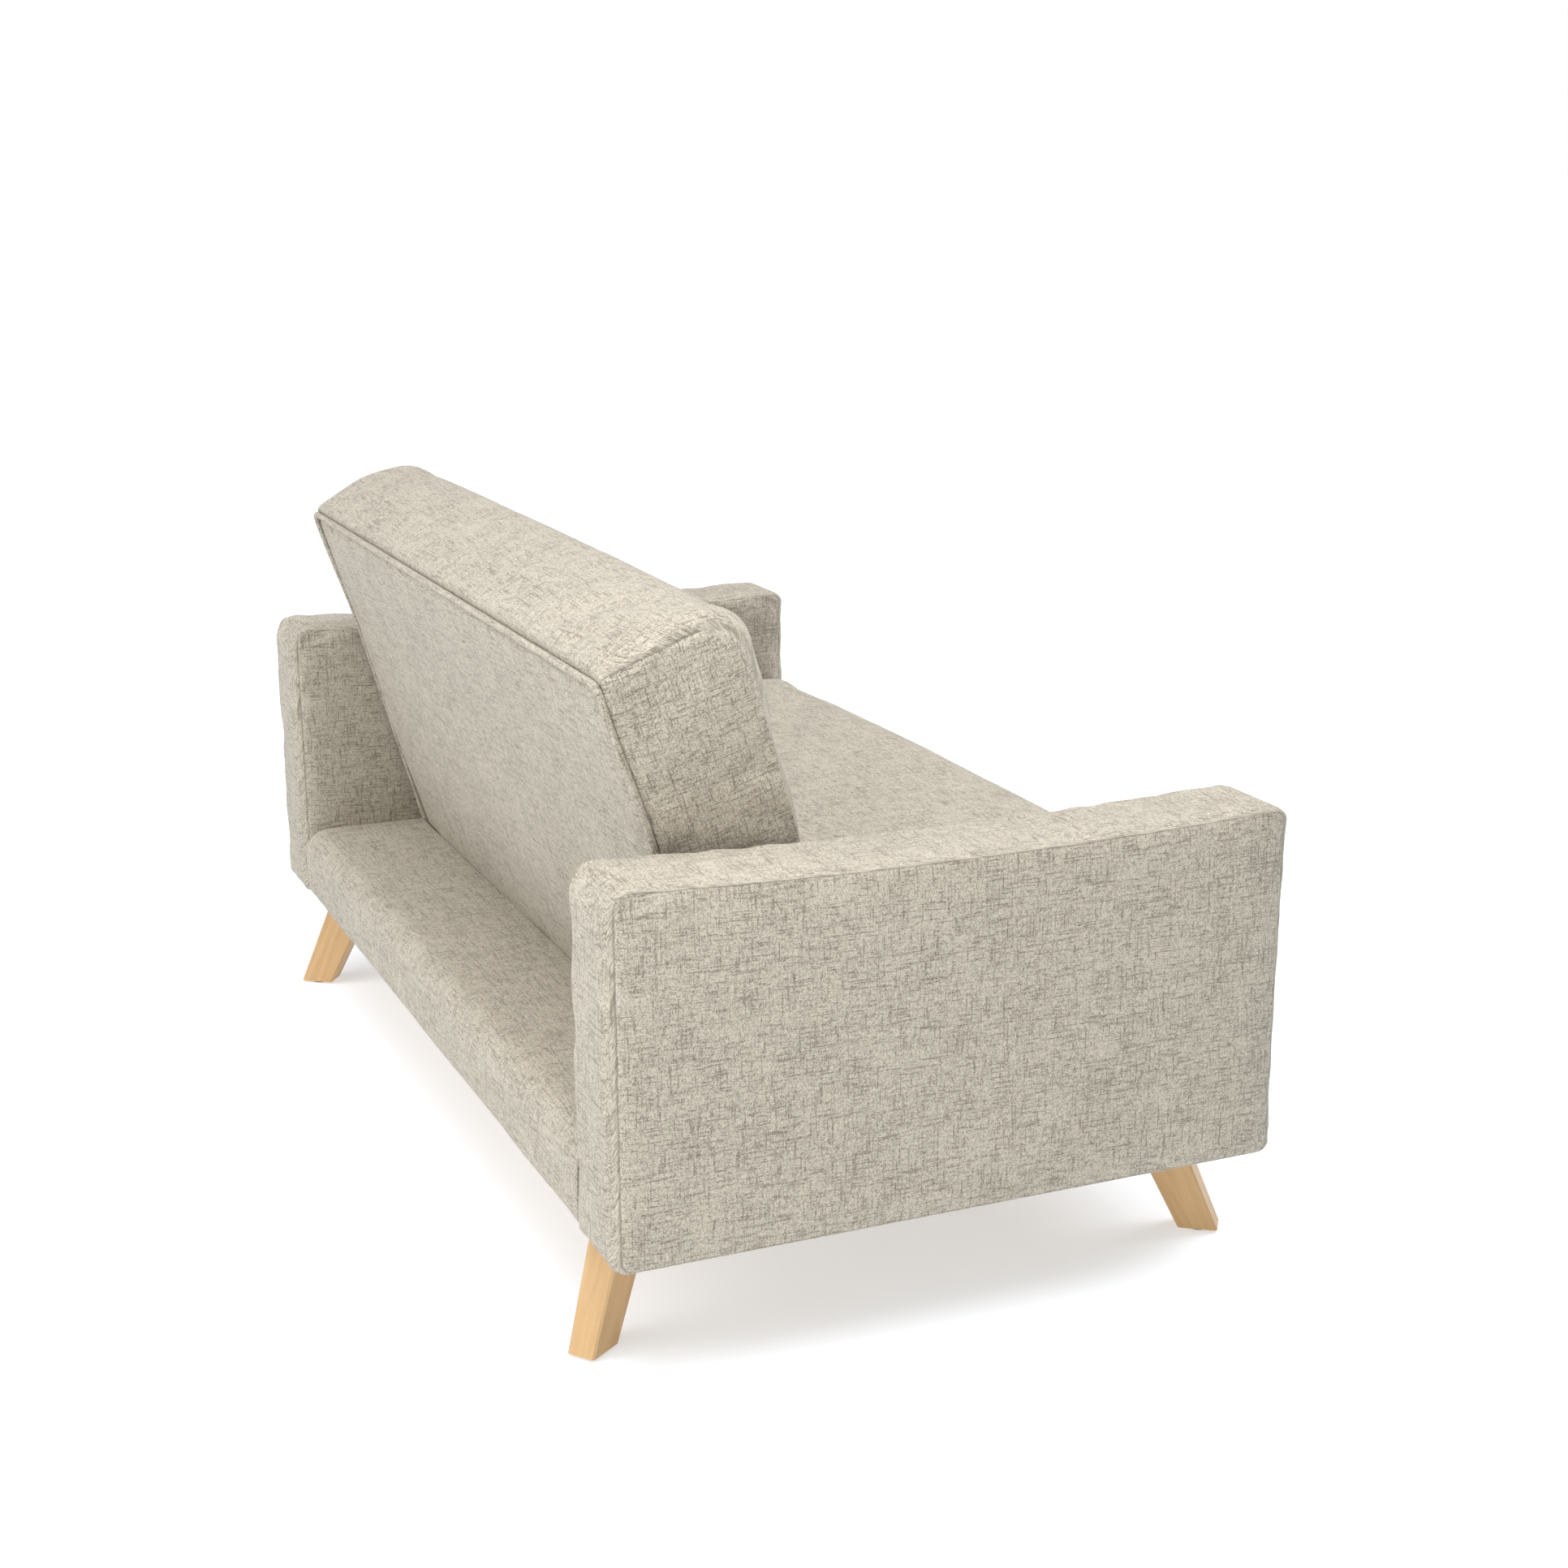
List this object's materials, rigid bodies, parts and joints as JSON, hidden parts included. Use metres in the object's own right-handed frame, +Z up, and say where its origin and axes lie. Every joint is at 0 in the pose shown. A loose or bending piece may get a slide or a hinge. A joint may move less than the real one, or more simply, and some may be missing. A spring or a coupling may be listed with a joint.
{
  "type": "sofa bed",
  "caption": "Upholstered box-arm sofa whose thick back reclines flat onto a padded rear ledge, on splayed wooden legs",
  "frame": {"origin": "on the floor, under the middle of the sofa", "axes": "+Z up, -Y is the sofa's front, +X is a sitter's left"},
  "size_m": [1.7, 0.8994, 0.8656],
  "materials": {
    "oatmeal_fabric": "matte",
    "leg_wood": "satin",
    "frame_wood": "matte",
    "hinge_steel": "satin",
    "glide_felt": "matte"
  },
  "bodies": {
    "base": {"arm_pad_left": "oatmeal_fabric", "arm_pad_right": "oatmeal_fabric", "ledge_pad": "oatmeal_fabric", "rear_skin": "oatmeal_fabric", "apron_skin": "oatmeal_fabric", "seat_pad": "oatmeal_fabric", "leg_front_left": "leg_wood", "leg_rear_left": "leg_wood", "leg_front_right": "leg_wood", "leg_rear_right": "leg_wood", "arm_board_left": "frame_wood", "arm_board_right": "frame_wood", "ledge_board": "frame_wood", "rear_rail": "frame_wood", "ledge_rail": "frame_wood", "front_rail": "frame_wood", "side_rail_left": "frame_wood", "side_rail_right": "frame_wood", "cross_rail_1": "frame_wood", "cross_rail_2": "frame_wood", "seat_bearer": "frame_wood", "corner_block_front_left": "frame_wood", "corner_block_rear_left": "frame_wood", "corner_block_front_right": "frame_wood", "corner_block_rear_right": "frame_wood", "seat_rail_front": "frame_wood", "seat_rail_rear": "frame_wood", "seat_rail_left": "frame_wood", "seat_rail_right": "frame_wood", "seat_slat_1": "frame_wood", "seat_slat_2": "frame_wood", "seat_slat_3": "frame_wood", "arm_bolt_left_1": "hinge_steel", "arm_bolt_left_2": "hinge_steel", "arm_bolt_right_1": "hinge_steel", "arm_bolt_right_2": "hinge_steel", "leg_bolt_front_left": "hinge_steel", "leg_bolt_rear_left": "hinge_steel", "leg_bolt_front_right": "hinge_steel", "leg_bolt_rear_right": "hinge_steel", "hinge_plate_left": "hinge_steel", "hinge_plate_right": "hinge_steel", "pivot_pin_left": "hinge_steel", "pivot_pin_right": "hinge_steel", "glide_front_left": "glide_felt", "glide_rear_left": "glide_felt", "glide_front_right": "glide_felt", "glide_rear_right": "glide_felt"},
    "back": {"back_pad": "oatmeal_fabric", "back_panel": "oatmeal_fabric", "back_rail_bottom": "frame_wood", "back_rail_top": "frame_wood", "back_post_left": "frame_wood", "back_post_right": "frame_wood", "back_slat_1": "frame_wood", "back_slat_2": "frame_wood", "back_plate_left": "hinge_steel", "back_plate_right": "hinge_steel"},
    "pawl_left": {"pawl_left": "hinge_steel"},
    "pawl_right": {"pawl_right": "hinge_steel"}
  },
  "joints": [
    {"name": "back_recline", "type": "hinge", "parent": "base", "child": "back", "pos_m": [0, 0.15583, 0.37349], "axis": [-1, 0, 0], "range_deg": [-10, 74.4]},
    {"name": "pawl_left_lift", "type": "hinge", "parent": "back", "child": "pawl_left", "pos_m": [0.7072, 0.13325, 0.43763], "axis": [1, 0, 0], "range_deg": [-2, 12]},
    {"name": "pawl_right_lift", "type": "hinge", "parent": "back", "child": "pawl_right", "pos_m": [-0.7072, 0.13325, 0.43763], "axis": [1, 0, 0], "range_deg": [-2, 12]}
  ],
  "couplings": [
    {"joint": "pawl_left_lift", "follows": "back_recline", "ratio": 0.15},
    {"joint": "pawl_right_lift", "follows": "back_recline", "ratio": 0.15}
  ]
}
